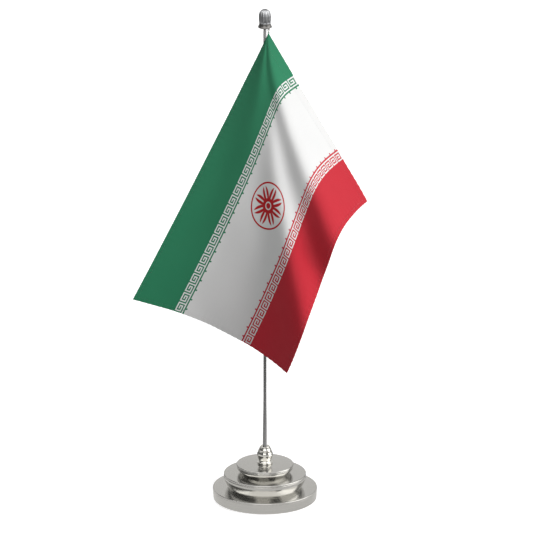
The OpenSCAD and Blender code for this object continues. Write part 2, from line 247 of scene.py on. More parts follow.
def turned(name, profile, sides, closed=False, shape=None, marks=None, sharp=40):
    """A surface of revolution about Z. Each profile point (radius, height) is carried round a circle.

    An open profile runs from the axis below to the axis above and ends in two fans of triangles.
    A closed one goes round its section, outside first, and leaves a bore. shape changes the
    radius as a function of the angle, the radius and the height.
    """
    profile = np.asarray(profile, float)
    ring = profile if closed else profile[1:-1]
    angle = np.arange(sides) * TURN / sides
    radius = np.repeat(ring[:, :1], sides, axis=1)
    height = np.repeat(ring[:, 1:], sides, axis=1)
    if shape is not None:
        radius = shape(angle[None, :], radius, height)
    points = np.stack((radius * np.cos(angle), radius * np.sin(angle), height), axis=-1).reshape(-1, 3)
    groups = [grid_faces(len(ring), sides, wrap=True, closed=closed)]
    if not closed:
        low, high = len(points), len(points) + 1
        points = np.vstack((points, [0, 0, profile[0, 1]], [0, 0, profile[-1, 1]]))
        step = np.arange(sides)
        following = (step + 1) % sides
        last = (len(ring) - 1) * sides
        groups.append(np.stack((following, step, np.full(sides, low)), axis=-1))
        groups.append(np.stack((last + step, last + following, np.full(sides, high)), axis=-1))
    values = {key: rule(points) for key, rule in (marks or {}).items()}
    return make_mesh(name, points, groups, marks=values, sharp=sharp)


def arc(centre, radius, start, end, steps=8):
    """Points of a round stretch of a profile, from one angle in degrees to another."""
    angle = np.radians(np.linspace(start, end, steps + 1))
    return [(centre[0] + radius * math.cos(a), centre[1] + radius * math.sin(a)) for a in angle]


def eased(start, end, steps=16):
    """Points of a bulging stretch: the radius follows a quarter sine while the height rises evenly."""
    t = np.linspace(0, 1, steps + 1)
    radius = start[0] + (end[0] - start[0]) * np.sin(t * math.pi / 2)
    height = start[1] + (end[1] - start[1]) * t
    return list(zip(radius, height))


def swelled(start, end, steps=10):
    """Points of an S-shaped stretch: radius and height both run evenly but the radius eases at both ends."""
    t = np.linspace(0, 1, steps + 1)
    radius = start[0] + (end[0] - start[0]) * (1 - np.cos(t * math.pi)) / 2
    height = start[1] + (end[1] - start[1]) * t
    return list(zip(radius, height))


def tube(name, centre, across, up, ring_radius, wire_radius, steps=64, sides=20):
    """A torus: a circle of wire_radius carried round a circle that lies in the plane of across and up."""
    across, up = np.asarray(across, float), np.asarray(up, float)
    out = np.cross(across, up)
    around = (np.arange(steps) * TURN / steps)[:, None, None]
    section = (np.arange(sides) * TURN / sides)[None, :, None]
    spoke = np.cos(around) * across + np.sin(around) * up
    points = np.asarray(centre) + spoke * (ring_radius + wire_radius * np.cos(section))
    points = points + out * wire_radius * np.sin(section)
    return make_mesh(name, points, [grid_faces(steps, sides, wrap=True, closed=True)[:, ::-1]])


# ---------------------------------------------------------------- the sheet's shape


def wave(value, low, high):
    """Smooth step from 0 at low to 1 at high."""
    t = np.clip((value - low) / (high - low), 0, 1)
    return t * t * (3 - 2 * t)


def hanging_ring():
    """Centre and radius of the hanging ring, and half the thickness of its wire."""
    low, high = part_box("hanging_ring")
    wire = (high.x - low.x) / 2
    return (low + high) / 2, (high.z - low.z) / 2 - wire, wire


def cloth_point(sheet, along_fly, along_hoist):
    """Where a point of the flat cloth hangs.

    Straight lines from the hanging corner stay nearly straight, so the cloth is a cone of rays.
    A ray's cloth angle is 0 along the fly and a quarter turn along the hoist. Its sway angle runs
    from the top edge to the hoist edge with a sine bulge and turns with the logarithm of the
    distance, and its depth angle is a sine bulge plus three bell-shaped folds that grow with it.
    """
    centre, radius, _ = hanging_ring()
    corner = np.array((centre.x, centre.y, centre.z - radius - sheet.corner_drop))
    even = 150 * MM
    distance = np.hypot(along_fly, along_hoist)
    cloth_angle = np.arctan2(along_hoist, along_fly)
    t = cloth_angle / (math.pi / 2)
    arch, skew = np.sin(math.pi * t), np.sin(TURN * t)
    sway = (
        -sheet.top_edge
        + (sheet.top_edge + sheet.hoist_edge) * t
        + sheet.sway_bulge * arch
        + sheet.sway_skew * skew
        + (sheet.shear * arch + sheet.shear_skew * skew) * np.log((distance + 1 * MM) / even)
    )
    depth = sheet.depth_at_fly + sheet.depth_change * t - sheet.depth_bulge * arch
    for middle, side, angle, growth in zip(
        sheet.fold_middle, sheet.fold_reach, sheet.fold_depth, sheet.fold_growth
    ):
        size = angle + growth * (distance / even - 1)
        depth = depth + size * np.exp(-(((cloth_angle - middle) / side) ** 2))
    reach = distance * (1 - sheet.slack * np.sin(2 * cloth_angle))
    across = np.stack((np.cos(depth) * np.sin(sway), np.sin(depth), -np.cos(depth) * np.cos(sway)), axis=-1)
    return corner + reach[..., None] * across


def cloth_normal(sheet, along_fly, along_hoist):
    """Unit normal towards the back, from the cross product of two short steps on the cloth."""
    step = 0.4 * MM
    here = cloth_point(sheet, along_fly, along_hoist)
    fly_step = cloth_point(sheet, along_fly + step, along_hoist) - here
    hoist_step = cloth_point(sheet, along_fly, along_hoist + step) - here
    normal = np.cross(hoist_step, fly_step)
    size = np.linalg.norm(normal, axis=-1, keepdims=True)
    normal = normal / np.maximum(size, 1e-12)
    return np.where(normal[..., 1:2] < 0, -normal, normal)


def cloth_relief(sheet, along_fly, along_hoist):
    """Small relief along the normal: slow ripples over the whole sheet and puckers beside the hem."""
    to_edge = np.minimum.reduce((along_hoist, sheet.fly - along_fly, sheet.hoist - along_hoist, along_fly))
    ripple = 0.16 * MM * np.sin(along_fly / (9 * MM) + 2.1 * np.sin(along_hoist / (23 * MM)))
    ripple += 0.12 * MM * np.sin(along_hoist / (6 * MM) + 1.7 * np.sin(along_fly / (31 * MM)))
    along = np.where(
        np.minimum(along_hoist, sheet.hoist - along_hoist) < np.minimum(along_fly, sheet.fly - along_fly),
        along_fly,
        along_hoist,
    )
    pucker = 0.13 * MM * np.sin(TURN * along / (5.3 * MM) + 1.3 * np.sin(along / (11 * MM)))
    pucker *= np.exp(-to_edge / (4.5 * MM))
    near_corner = wave(np.hypot(along_fly, along_hoist), 4 * MM, 30 * MM)
    return (ripple + pucker) * near_corner


def hem_share(sheet, along_fly, along_hoist):
    """1 on the folded hem and 0 inside it, with a narrow ramp between."""
    ramp = 0.5 * MM
    narrow = np.minimum.reduce((along_hoist, sheet.fly - along_fly, sheet.hoist - along_hoist))
    on_narrow = 1 - wave(narrow, sheet.hem - ramp, sheet.hem + ramp)
    on_hoist = 1 - wave(along_fly, sheet.hoist_hem - ramp, sheet.hoist_hem + ramp)
    return np.maximum(on_narrow, on_hoist)


def cloth_surface(sheet, along_fly, along_hoist, lift):
    """Points at a distance from the middle of the cloth, along its normal, relief included."""
    normal = cloth_normal(sheet, along_fly, along_hoist)
    away = cloth_relief(sheet, along_fly, along_hoist) + lift
    return cloth_point(sheet, along_fly, along_hoist) + normal * away[..., None]


# ---------------------------------------------------------------- finishes


class Value:
    """A number that varies over a surface. Python operators on it add Math nodes."""

    def __init__(self, finish, socket):
        self.finish = finish
        self.socket = socket

    def math(self, operation, *others):
        return self.finish.node("ShaderNodeMath", {"operation": operation}, dict(enumerate((self, *others))))

    def __add__(self, other):
        return self.math("ADD", other)

    def __radd__(self, other):
        return self.math("ADD", other)

    def __sub__(self, other):
        return self.math("SUBTRACT", other)

    def __rsub__(self, other):
        return self.finish.node("ShaderNodeMath", {"operation": "SUBTRACT"}, {0: other, 1: self})

    def __mul__(self, other):
        return self.math("MULTIPLY", other)

    def __rmul__(self, other):
        return self.math("MULTIPLY", other)

    def __truediv__(self, other):
        return self.math("DIVIDE", other)

    def __abs__(self):
        return self.math("ABSOLUTE")

    def __mod__(self, other):
        return self.math("FLOORED_MODULO", other)

    def __pow__(self, other):
        return self.math("POWER", other)

    def least(self, other):
        return self.math("MINIMUM", other)

    def most(self, other):
        return self.math("MAXIMUM", other)

    def sine(self):
        return self.math("SINE")

    def held(self):
        """The value kept between 0 and 1."""
        return self.finish.node("ShaderNodeMath", {"operation": "ADD", "use_clamp": True}, {0: self, 1: 0.0})


class Finish:
    """One material, with short ways to add nodes to it."""

    def __init__(self, name, roughness=0.5, metallic=0.0, **constants):
        self.material = bpy.data.materials.new(name)
        self.material.use_nodes = True
        self.tree = self.material.node_tree
        self.shader = self.tree.nodes["Principled BSDF"]
        self.shader.inputs["Roughness"].default_value = roughness
        self.shader.inputs["Metallic"].default_value = metallic
        for key, value in constants.items():
            self.shader.inputs[key.replace("_", " ")].default_value = value

    def feed(self, socket, value):
        if isinstance(value, Value):
            self.tree.links.new(value.socket, socket)
        elif hasattr(value, "__len__") and len(value) == 3 and socket.type == "RGBA":
            socket.default_value = (*value, 1.0)
        else:
            socket.default_value = value

    def node(self, kind, settings=None, values=None, output=0):
        """Adds a node, gives it its settings, then its values or links, and returns one output."""
        made = self.tree.nodes.new(kind)
        for key, setting in (settings or {}).items():
            setattr(made, key, setting)
        for key, value in (values or {}).items():
            self.feed(made.inputs[key], value)
        return Value(self, made.outputs[output])

    def give(self, **values):
        """Links or sets the shader's own sockets."""
        for key, value in values.items():
            self.feed(self.shader.inputs[key.replace("_", " ")], value)
        return self

    def place(self):
        """Object coordinates as three values."""
        coordinates = self.node("ShaderNodeTexCoord", output="Object")
        return self.parts(coordinates)

    def parts(self, vector):
        """The three numbers of a vector."""
        return [self.node("ShaderNodeSeparateXYZ", None, {0: vector}, output=i) for i in range(3)]

    def vector(self, x, y, z):
        return self.node("ShaderNodeCombineXYZ", None, {0: x, 1: y, 2: z})

    def noise(self, vector, scale, detail=2.0, roughness=0.5):
        values = {"Vector": vector, "Scale": scale, "Detail": detail, "Roughness": roughness}
        return self.node("ShaderNodeTexNoise", None, values)

    def blend(self, share, first, second):
        """A colour that goes from first to second as share goes from 0 to 1."""
        settings = {"data_type": "RGBA", "blend_type": "MIX"}
        return self.node("ShaderNodeMix", settings, {0: share, 6: first, 7: second}, output=2)

    def bump(self, height, distance, strength=1.0):
        values = {"Strength": strength, "Distance": distance, "Height": height}
        return self.node("ShaderNodeBump", None, values)


def shade(colour, factor):
    """A colour made darker or lighter in Python."""
    return tuple(min(1.0, c * factor) for c in colour)


def brushed_finish(name, colour, roughness, streak=9000.0, anisotropic=0.55):
    """Turned and plated metal: fine rings of brushing round Z, faint stains and rubbed patches."""
    f = Finish(name, metallic=1.0, Anisotropic=anisotropic)
    x, y, z = f.place()
    radius = (x * x + y * y) ** 0.5
    rings = f.noise(f.vector((radius + z) * streak, x * 60, y * 60), 1.0, detail=3.0, roughness=0.7)
    broad = f.noise(f.vector((radius + z) * (streak / 6), x * 25, y * 25), 1.0, detail=2.0)
    stain = f.noise(f.vector(x, y, z), 55.0, detail=4.0, roughness=0.6)
    tone = (rings * 0.35 + broad * 0.45 + stain * 0.2).held()
    f.give(
        Base_Color=f.blend(tone, shade(colour, 0.86), shade(colour, 1.1)),
        Roughness=roughness * 0.7 + roughness * (rings * 0.35 + stain * 0.45),
        Normal=f.bump(rings + broad * 0.6, 0.004 * MM, 0.35),
    )
    return f.material


def polished_finish(name, colour, roughness=0.07):
    """Mirror-polished plate: faint ripples of the buffing wheel and a few dull smudges."""
    f = Finish(name, metallic=1.0)
    x, y, z = f.place()
    smudge = f.noise(f.vector(x, y, z), 160.0, detail=4.0, roughness=0.65)
    buffing = f.noise(f.vector(x * 300, y * 300, z * 1500), 1.0, detail=2.0)
    f.give(
        Base_Color=f.blend(smudge, shade(colour, 0.85), shade(colour, 1.08)),
        Roughness=roughness * 0.5 + roughness * (smudge * 1.1),
        Normal=f.bump(buffing, 0.004 * MM, 0.4),
    )
    return f.material


def drawn_finish(name, colour, roughness=0.22):
    """Drawn and plated rod: long streaks that run along Z."""
    f = Finish(name, metallic=1.0)
    x, y, z = f.place()
    streaks = f.noise(f.vector(x * 5200, y * 5200, z * 26), 1.0, detail=3.0, roughness=0.6)
    patches = f.noise(f.vector(x, y, z), 32.0, detail=3.0)
    f.give(
        Base_Color=f.blend((streaks * 0.5 + patches * 0.5).held(), shade(colour, 0.7), shade(colour, 1.15)),
        Roughness=roughness * 0.6 + roughness * streaks * 0.8,
        Normal=f.bump(streaks, 0.006 * MM, 0.5),
    )
    return f.material


def fluted_finish(name, colour, roughness=0.36):
    """Cast and plated metal with random tone, and painted shade that darkens the valleys between the ribs."""
    f = Finish(name, metallic=1.0)
    x, y, z = f.place()
    valley_shade = f.node("ShaderNodeAttribute", {"attribute_name": "valley_shade"}, output="Fac")
    grain = f.noise(f.vector(x, y, z), 900.0, detail=3.0)
    stain = f.noise(f.vector(x, y, z), 180.0, detail=3.0)
    rubbed = f.blend((grain * 0.5 + stain * 0.5).held(), shade(colour, 0.8), shade(colour, 1.25))
    f.give(
        # Painted shade: the valleys between the ribs are darkened towards 0.3 of the plate colour.
        Base_Color=f.blend((valley_shade * 0.85).held(), rubbed, shade(colour, 0.3)),
        Roughness=roughness * 0.7 + valley_shade * 0.25 + grain * 0.14,
        Normal=f.bump(grain, 0.01 * MM, 0.4),
    )
    return f.material


def pressed_felt_finish(name, colour):
    """Pressed felt: short tangled fibres and lighter flecks."""
    f = Finish(name, roughness=0.95, Sheen_Weight=0.4, Sheen_Roughness=0.5)
    x, y, z = f.place()
    fibres = f.noise(f.vector(x * 1900, y * 1900, z * 1900), 1.0, detail=5.0, roughness=0.7)
    clumps = f.noise(f.vector(x, y, z), 240.0, detail=3.0)
    f.give(
        Base_Color=f.blend((fibres * 0.7 + clumps * 0.4).held(), shade(colour, 0.6), shade(colour, 2.1)),
        Normal=f.bump(fibres, 0.2 * MM, 0.7),
    )
    return f.material


def moulded_finish(name, colour, roughness):
    """Moulded rubber or nylon: fine orange-peel grain and dull patches."""
    f = Finish(name, roughness=roughness)
    x, y, z = f.place()
    grain = f.noise(f.vector(x, y, z), 2600.0, detail=3.0)
    patches = f.noise(f.vector(x, y, z), 300.0, detail=2.0)
    f.give(
        Base_Color=f.blend(patches, shade(colour, 0.85), shade(colour, 1.15)),
        Roughness=roughness * 0.85 + grain * 0.15,
        Normal=f.bump(grain, 0.02 * MM, 0.4),
    )
    return f.material


def box_mask(x, y, low_x, high_x, low_y, high_y, soft):
    """1 inside a rectangle and 0 outside it, from the least of the four distances to its sides."""
    inside = (x - low_x).least(high_x - x).least(y - low_y).least(high_y - y)
    return (inside / soft + 0.5).held()


def fret_mask(x, y):
    """A running square key, 8 units long and 7 high: a base line that carries square hooks."""
    bars = (
        (-1, 9, 0, 1),
        (0, 1, 0, 7),
        (0, 7, 6, 7),
        (6, 7, 2, 7),
        (2, 7, 2, 3),
        (2, 3, 2, 5),
        (2, 5, 4, 5),
    )
    drawn = None
    for low_x, high_x, low_y, high_y in bars:
        bar = box_mask(x, y, low_x, high_x, low_y, high_y, 0.16)
        drawn = bar if drawn is None else drawn.most(bar)
    return drawn


def rosette_mask(f, x, y, radius):
    """Eight petals round a button inside a thin ring, drawn from polar coordinates."""
    soft = 0.15 * MM
    far = (x * x + y * y) ** 0.5
    angle = f.node("ShaderNodeMath", {"operation": "ARCTAN2"}, {0: y, 1: x})
    lobe = abs((angle * 4.0).math("COSINE"))
    share = far / radius
    petal_width = (share * (0.86 - share)).most(0.0) * 2.7
    petal = ((petal_width - (1.0 - lobe) * share * 1.2) * 10.0).held()
    vein = ((0.03 - (1.0 - lobe) * share) * 90.0).held() * ((share - 0.3) * 20.0).held()
    outline = petal * (1.0 - vein)
    outline = outline * ((far - radius * 0.17) / soft).held()
    button = ((radius * 0.12 - far) / soft + 0.5).held()
    ring = ((radius * 0.035 - abs(far - radius * 0.95)) / soft + 0.5).held()
    return outline.most(button).most(ring)


def satin_finish(name, sheet, colours):
    """Printed satin: three stripes, a square-key band in each coloured one and a rosette, on the weave."""
    f = Finish(name, roughness=0.62, Sheen_Weight=0.08, Sheen_Roughness=0.35)
    f.shader.inputs["Specular IOR Level"].default_value = 0.25
    place = f.node("ShaderNodeUVMap", {"uv_map": "cloth"})
    u, v, _ = f.parts(place)
    along, down = u * sheet.fly, v * sheet.hoist
    soft = 0.12 * MM
    edge = sheet.stripe_edge * sheet.hoist
    band = sheet.band * sheet.hoist
    from_middle = abs(down - sheet.hoist / 2)
    into_colour = from_middle - (sheet.hoist / 2 - edge)
    coloured = (into_colour / soft + 0.5).held()
    lower = ((down - sheet.hoist / 2) / soft + 0.5).held()
    unit = sheet.fly / (8 * sheet.repeats)
    rule = 1.15 * unit
    key_x = (along / unit) % 8.0
    key_y = (into_colour - rule) * (7.0 / (band - rule))
    fret = fret_mask(key_x, key_y)
    teeth = box_mask(key_x, into_colour / unit, 3.0, 4.2, -1.2, 0.1, 0.2)
    ink = (coloured * (1.0 - fret)).most(teeth)
    rosette = rosette_mask(f, (down - sheet.hoist / 2) / 0.9, along - sheet.fly / 2, sheet.emblem)
    dye = f.blend(lower, colours.green, colours.red)
    cloth = f.blend(ink, colours.white, dye)
    cloth = f.blend(rosette, cloth, colours.rosette)
    warp = (along * (TURN / (0.42 * MM))).sine()
    weft = (down * (TURN / (0.36 * MM))).sine()
    slub = f.noise(f.vector(along * 90, down * 2600, 0.0), 1.0, detail=2.0)
    cloud = f.noise(f.vector(along, down, 0.0), 34.0, detail=3.0)
    weave = warp * 0.3 + weft * 0.3 + slub * 0.8
    mottle = (slub * 0.55 + cloud * 0.45).held()
    worn = f.node("ShaderNodeMix", {"data_type": "RGBA", "blend_type": "MULTIPLY"},
                  {0: 1.0, 6: cloth, 7: f.blend(mottle, (0.93, 0.93, 0.93), (1.0, 1.0, 1.0))}, output=2)
    hem = f.node("ShaderNodeAttribute", {"attribute_name": "hem"}, output="Fac")
    f.give(
        # Painted shade: the folded hem, given by the hem attribute, is darkened by 2 percent.
        Base_Color=f.blend(hem * 0.02, worn, (0.0, 0.0, 0.0)),
        Roughness=0.54 + mottle * 0.16,
        Normal=f.bump(weave, 0.05 * MM, 0.35),
    )
    return f.material


def thread_finish(name, sheet, colours):
    """Sewing thread in the colours of the stripes it crosses, with a twist along it."""
    f = Finish(name, roughness=0.6, Sheen_Weight=0.3)
    _, v, _ = f.parts(f.node("ShaderNodeUVMap", {"uv_map": "cloth"}))
    x, y, z = f.place()
    down = v * sheet.hoist
    edge = sheet.stripe_edge * sheet.hoist
    coloured = ((abs(down - sheet.hoist / 2) - (sheet.hoist / 2 - edge)) / (0.5 * MM) + 0.5).held()
    lower = ((down - sheet.hoist / 2) / (0.5 * MM) + 0.5).held()
    twist = ((x + y + z) * (TURN / (0.3 * MM))).sine() * 0.5 + 0.5
    dye = f.blend(coloured, colours.white, f.blend(lower, colours.green, colours.red))
    f.give(Base_Color=f.blend(twist * 0.25, dye, (0.02, 0.02, 0.02)), Normal=f.bump(twist, 0.03 * MM, 0.5))
    return f.material


def tape_finish(name, colour):
    """Woven tape: fine cross ribs and a lighter fleck."""
    f = Finish(name, roughness=0.75, Sheen_Weight=0.3)
    x, y, z = f.place()
    ribs = ((x + z) * (TURN / (0.22 * MM))).sine() * 0.5 + 0.5
    fleck = f.noise(f.vector(x, y, z), 1500.0, detail=2.0)
    f.give(
        Base_Color=f.blend((ribs * 0.4 + fleck * 0.4).held(), shade(colour, 0.7), shade(colour, 1.2)),
        Normal=f.bump(ribs, 0.03 * MM, 0.6),
    )
    return f.material


def finished(piece, material, slot, body, *stands_for):
    """Gives a piece its material and its body, and hides the nodes it stands for. The slot argument is not
    used.
    """
    piece.data.materials.clear()
    piece.data.materials.append(material)
    if stands_for:
        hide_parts(*stands_for)
    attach(piece, body)
    return piece


def refinish(node, material):
    """A new material on a carried-over node."""
    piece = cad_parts[node]
    piece.data.materials.clear()
    piece.data.materials.append(material)


# ---------------------------------------------------------------- operators


class FLAGSTAND_OT_tiers(bpy.types.Operator):
    """Turns the three tiers of the base and covers the pad under them"""

    bl_idname = "flagstand.tiers"
    bl_label = "Tiers and foot pad"

    def side(self, metal, foot_radius, lip_radius, low, high, groove):
        """Undercut side, fine groove, straight lip and rounded upper edge."""
        groove_z = high - metal.lip
        bevel = 0.25 * MM
        return (
            [(foot_radius - bevel, low), (foot_radius, low + bevel)]
            + eased((foot_radius, low + 0.3 * MM), (lip_radius - 0.08 * MM, groove_z - 1.2 * groove), 20)[1:]
            + arc((lip_radius - 0.02 * MM, groove_z), groove, 270, 90, 8)
            + [(lip_radius, groove_z + 1.15 * groove)]
            + arc((lip_radius - metal.edge, high - metal.edge), metal.edge, 0, 90, 8)
        )

    def execute(self, context):
        metal, colours = context.scene.stand_metal, context.scene.stand_colours
        names = ("bottom_tier", "middle_tier", "top_tier", "foot_pad", "flat_washer")
        low = {name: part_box(name)[0] for name in names}
        high = {name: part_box(name)[1] for name in names}
        nickel = brushed_finish("satin_nickel", colours.nickel, 0.15)
        bore = metal.shank + metal.bore_gap
        spigot = metal.spigot
        tops = {
            "bottom_tier": low["middle_tier"].z,
            "middle_tier": low["top_tier"].z,
            "top_tier": high["top_tier"].z,
        }
        for name, top in tops.items():
            lowest = name == "bottom_tier"
            base = low[name].z
            lip = high[name].x
            foot = lip - (metal.wall_edge if lowest else metal.undercut)
            spigot_top = high[name].z
            groove = metal.line_groove if lowest else metal.shadow_groove
            section = self.side(metal, foot, lip, base, top, groove)
            if spigot_top - top > 0.1 * MM:
                section += [(spigot, top), (spigot, spigot_top), (bore, spigot_top)]
            else:
                section += [(bore, top)]
            if lowest:
                recess = high["foot_pad"].x + metal.pad_gap
                counterbore = high["flat_washer"].x + metal.washer_gap
                section += [(bore, high["flat_washer"].z), (counterbore, high["flat_washer"].z)]
                section += [(counterbore, high["foot_pad"].z), (recess, high["foot_pad"].z), (recess, base)]
            else:
                recess = spigot + metal.spigot_gap
                section += [(bore, base + metal.recess), (recess, base + metal.recess), (recess, base)]
            piece = turned(f"turned_{name}", section, metal.sides, closed=True, sharp=32)
            finished(piece, nickel, "satin_nickel", "base", name)
        refinish("foot_pad", pressed_felt_finish("pressed_felt", colours.felt))
        return {"FINISHED"}


class FLAGSTAND_OT_fixings(bpy.types.Operator):
    """Finishes the nut, washers and rings that hold the stand together"""

    bl_idname = "flagstand.fixings"
    bl_label = "Fixings"

    def execute(self, context):
        colours = context.scene.stand_colours
        zinc = brushed_finish("bright_zinc", colours.zinc, 0.35, streak=4000.0, anisotropic=0.2)
        for node in ("flat_washer", "lock_washer", "clamp_nut"):
            refinish(node, zinc)
        refinish("grip_ring", moulded_finish("black_rubber", (0.02, 0.02, 0.02), 0.6))
        refinish("swivel_washer", moulded_finish("natural_nylon", (0.75, 0.75, 0.7), 0.45))
        return {"FINISHED"}


class FLAGSTAND_OT_socket(bpy.types.Operator):
    """Turns the polished socket with its waist, bulge and stepped cone"""

    bl_idname = "flagstand.socket"
    bl_label = "Socket"

    def execute(self, context):
        metal, colours = context.scene.stand_metal, context.scene.stand_colours
        low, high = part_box("socket")
        foot_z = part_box("top_tier")[1].z
        top = high.z
        bulge = high.x
        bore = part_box("pole")[1].x + metal.pole_gap
        foot, waist, mouth = metal.socket_foot, metal.socket_waist, metal.socket_mouth
        step = mouth + (bulge - mouth) * 0.55
        waist_z, bulge_z, step_z = foot_z + 2.4 * MM, foot_z + 7.6 * MM, top - 3.6 * MM
        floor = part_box("pole")[0].z - 0.4 * MM
        ring_low, ring_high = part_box("grip_ring")
        groove_z = (ring_low.z + ring_high.z) / 2
        groove_half = 0.65 * MM
        bevel = 0.4 * MM
        edge = 0.3 * MM
        shank = metal.shank
        section = [(0, low.z), (shank - bevel, low.z), (shank, low.z + bevel), (shank, foot_z)]
        section += arc((foot - edge, foot_z + edge), edge, -90, 0, 4)
        section += arc((foot - edge, foot_z + 1.5 * MM - edge), edge, 0, 90, 5)
        section += swelled((waist + 0.5 * MM, foot_z + 1.6 * MM), (waist, waist_z), 5)
        section += eased((waist, waist_z + 0.1 * MM), (bulge, bulge_z), 14)
        section += swelled((bulge, bulge_z + 0.5 * MM), (step + 0.5 * MM, step_z - 0.3 * MM), 8)
        section += [(step, step_z), (step, step_z + 0.4 * MM)]
        section += swelled((step, step_z + 0.6 * MM), (mouth + 0.5 * MM, top - 1.1 * MM), 8)
        section += [(mouth, top - 0.8 * MM)]
        section += arc((mouth - 0.25 * MM, top - 0.25 * MM), 0.25 * MM, 0, 90, 5)
        section += [(bore, top), (bore, groove_z + groove_half), (metal.grip_groove, groove_z + groove_half)]
        section += [(metal.grip_groove, groove_z - groove_half), (bore, groove_z - groove_half)]
        section += [(bore, floor), (0, floor)]
        piece = turned("turned_socket", section, 128, sharp=35)
        chrome = polished_finish("polished_chrome", colours.chrome)
        finished(piece, chrome, "polished_chrome", "base", "socket")
        return {"FINISHED"}


class FLAGSTAND_OT_pole(bpy.types.Operator):
    """Draws the slim rod with its tapered foot and threaded tip"""

    bl_idname = "flagstand.pole"
    bl_label = "Pole"

    def execute(self, context):
        metal, colours = context.scene.stand_metal, context.scene.stand_colours
        low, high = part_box("pole")
        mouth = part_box("socket")[1].z
        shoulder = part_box("swivel_washer")[0].z
        foot, rod, tip = high.x, metal.rod, metal.tip
        bevel = 0.3 * MM
        section = [(0, low.z), (foot - bevel, low.z), (foot, low.z + bevel), (foot, mouth + 0.5 * MM)]
        section += swelled((foot, mouth + 0.6 * MM), (rod, mouth + metal.taper), 12)
        section += [(rod, shoulder - 0.1 * MM), (rod - 0.1 * MM, shoulder), (tip, shoulder)]
        thread_low, thread_high = shoulder + 4.2 * MM, high.z - 0.4 * MM
        turns = int((thread_high - thread_low) / metal.thread_pitch)
        for z in np.linspace(thread_low, thread_high, turns):
            section += [(tip, z), (tip - metal.thread_depth, z + 0.17 * MM)]
        section += [(tip - bevel, high.z), (0, high.z)]
        piece = turned("drawn_rod", section, 48, sharp=50)
        finished(piece, drawn_finish("drawn_chrome", colours.rod), "rod_chrome", "pole", "pole")
        return {"FINISHED"}


class FLAGSTAND_OT_finial(bpy.types.Operator):
    """Makes the fluted finial and the flared collar with its eye"""

    bl_idname = "flagstand.finial"
    bl_label = "Finial and collar"

    def finial(self, metal, material):
        """Round-topped nut whose radius drops in a hollow between each pair of ribs."""
        low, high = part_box("finial")
        radius = high.x
        dome = 1.12 * radius
        dome_z = high.z - dome
        foot_z = low.z + 0.9 * MM
        bead = 0.35 * MM
        bore = metal.tip + metal.pole_gap
        bore_top = low.z + 8.4 * MM

        def between_ribs(angle):
            return 1 - np.abs(np.sin(metal.flutes * angle / 2)) ** 0.7

        def shape(angle, r, z):
            body = wave(z, foot_z, foot_z + 1.0 * MM)
            crown = 1 - wave(z, high.z - 1.2 * MM, high.z - 0.1 * MM)
            outside = wave(r, bore + 0.3 * MM, bore + 1.2 * MM)
            depth = metal.flute_depth * body * crown * outside * np.minimum(r / radius, 1)
            return r - depth * between_ribs(angle)

        # Mask of the painted shade in the flute hollows, fading in above the foot.
        def valley_shade(points):
            angle = np.arctan2(points[:, 1], points[:, 0])
            return between_ribs(angle) * wave(points[:, 2], foot_z, foot_z + 1.2 * MM)

        section = [(0, bore_top), (bore, bore_top - 0.4 * MM), (bore, low.z), (radius - 0.7 * MM, low.z)]
        section += arc((radius - 0.6 * MM, low.z + bead), bead, -90, 90, 8)
        section += swelled((radius - 0.35 * MM, foot_z), (radius, foot_z + 1.6 * MM), 8)
        section += [(radius, z) for z in np.linspace(foot_z + 2.0 * MM, dome_z - 0.3 * MM, 6)]
        bend = np.radians(np.linspace(0, 88, 26))
        section += [(radius * math.cos(a), dome_z + dome * math.sin(a)) for a in bend]
        section += [(0, high.z)]
        sides = metal.flutes * 20
        piece = turned("fluted_finial", section, sides, shape=shape, marks={"valley_shade": valley_shade}, sharp=60)
        finished(piece, material, "finial_metal", "finial", "finial")

    def collar(self, metal, material):
        """Flared cup with a rolled lower rim, a bored middle and a wire eye under its front."""
        low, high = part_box("hanger_collar")
        washer_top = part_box("swivel_washer")[1].z
        rim, crown, bore = -low.x, metal.collar_crown, metal.tip + metal.pole_gap
        roll = 0.4 * MM
        edge = 0.2 * MM
        flare_z = washer_top + 0.75 * MM
        flare_h = high.z - washer_top - 1.0 * MM
        section = [(bore, washer_top), (rim - 0.9 * MM, washer_top)]
        section += arc((rim - roll, washer_top + roll), roll, -90, 60, 8)
        rise = np.linspace(0.12, 1, 14)
        section += list(zip(crown + (rim - crown) * (1 - rise) ** 2, flare_z + flare_h * rise))
        section += arc((crown - edge, high.z - edge), edge, 0, 90, 4) + [(bore, high.z)]
        # The collar gets no painted shade in flute hollows: the mask is zero everywhere.
        smooth = {"valley_shade": lambda points: np.zeros(len(points))}
        piece = turned("flared_collar", section, 96, closed=True, marks=smooth, sharp=40)
        finished(piece, material, "finial_metal", "collar", "hanger_collar")
        ring = hanging_ring()[0]
        centre = (ring.x, ring.y, low.z + 0.95 * MM)
        eye = tube("collar_eye", centre, (1, 0, 0), (0, 0, 1), metal.eye, metal.eye_wire, 48, 16)
        finished(eye, material, "finial_metal", "collar")

    def execute(self, context):
        metal, colours = context.scene.stand_metal, context.scene.stand_colours
        self.finial(metal, fluted_finish("cast_chrome", colours.finial))
        self.collar(metal, fluted_finish("turned_collar", colours.collar))
        return {"FINISHED"}


class FLAGSTAND_OT_ring(bpy.types.Operator):
    """Bends the wire ring that carries the flag"""

    bl_idname = "flagstand.ring"
    bl_label = "Hanging ring"

    def execute(self, context):
        colours = context.scene.stand_colours
        centre, radius, wire = hanging_ring()
        piece = tube("wire_ring", centre, (0, 1, 0), (0, 0, 1), radius, wire, 64, 16)
        finished(piece, polished_finish("bright_wire", colours.chrome, 0.12), "wire", "ring", "hanging_ring")
        return {"FINISHED"}


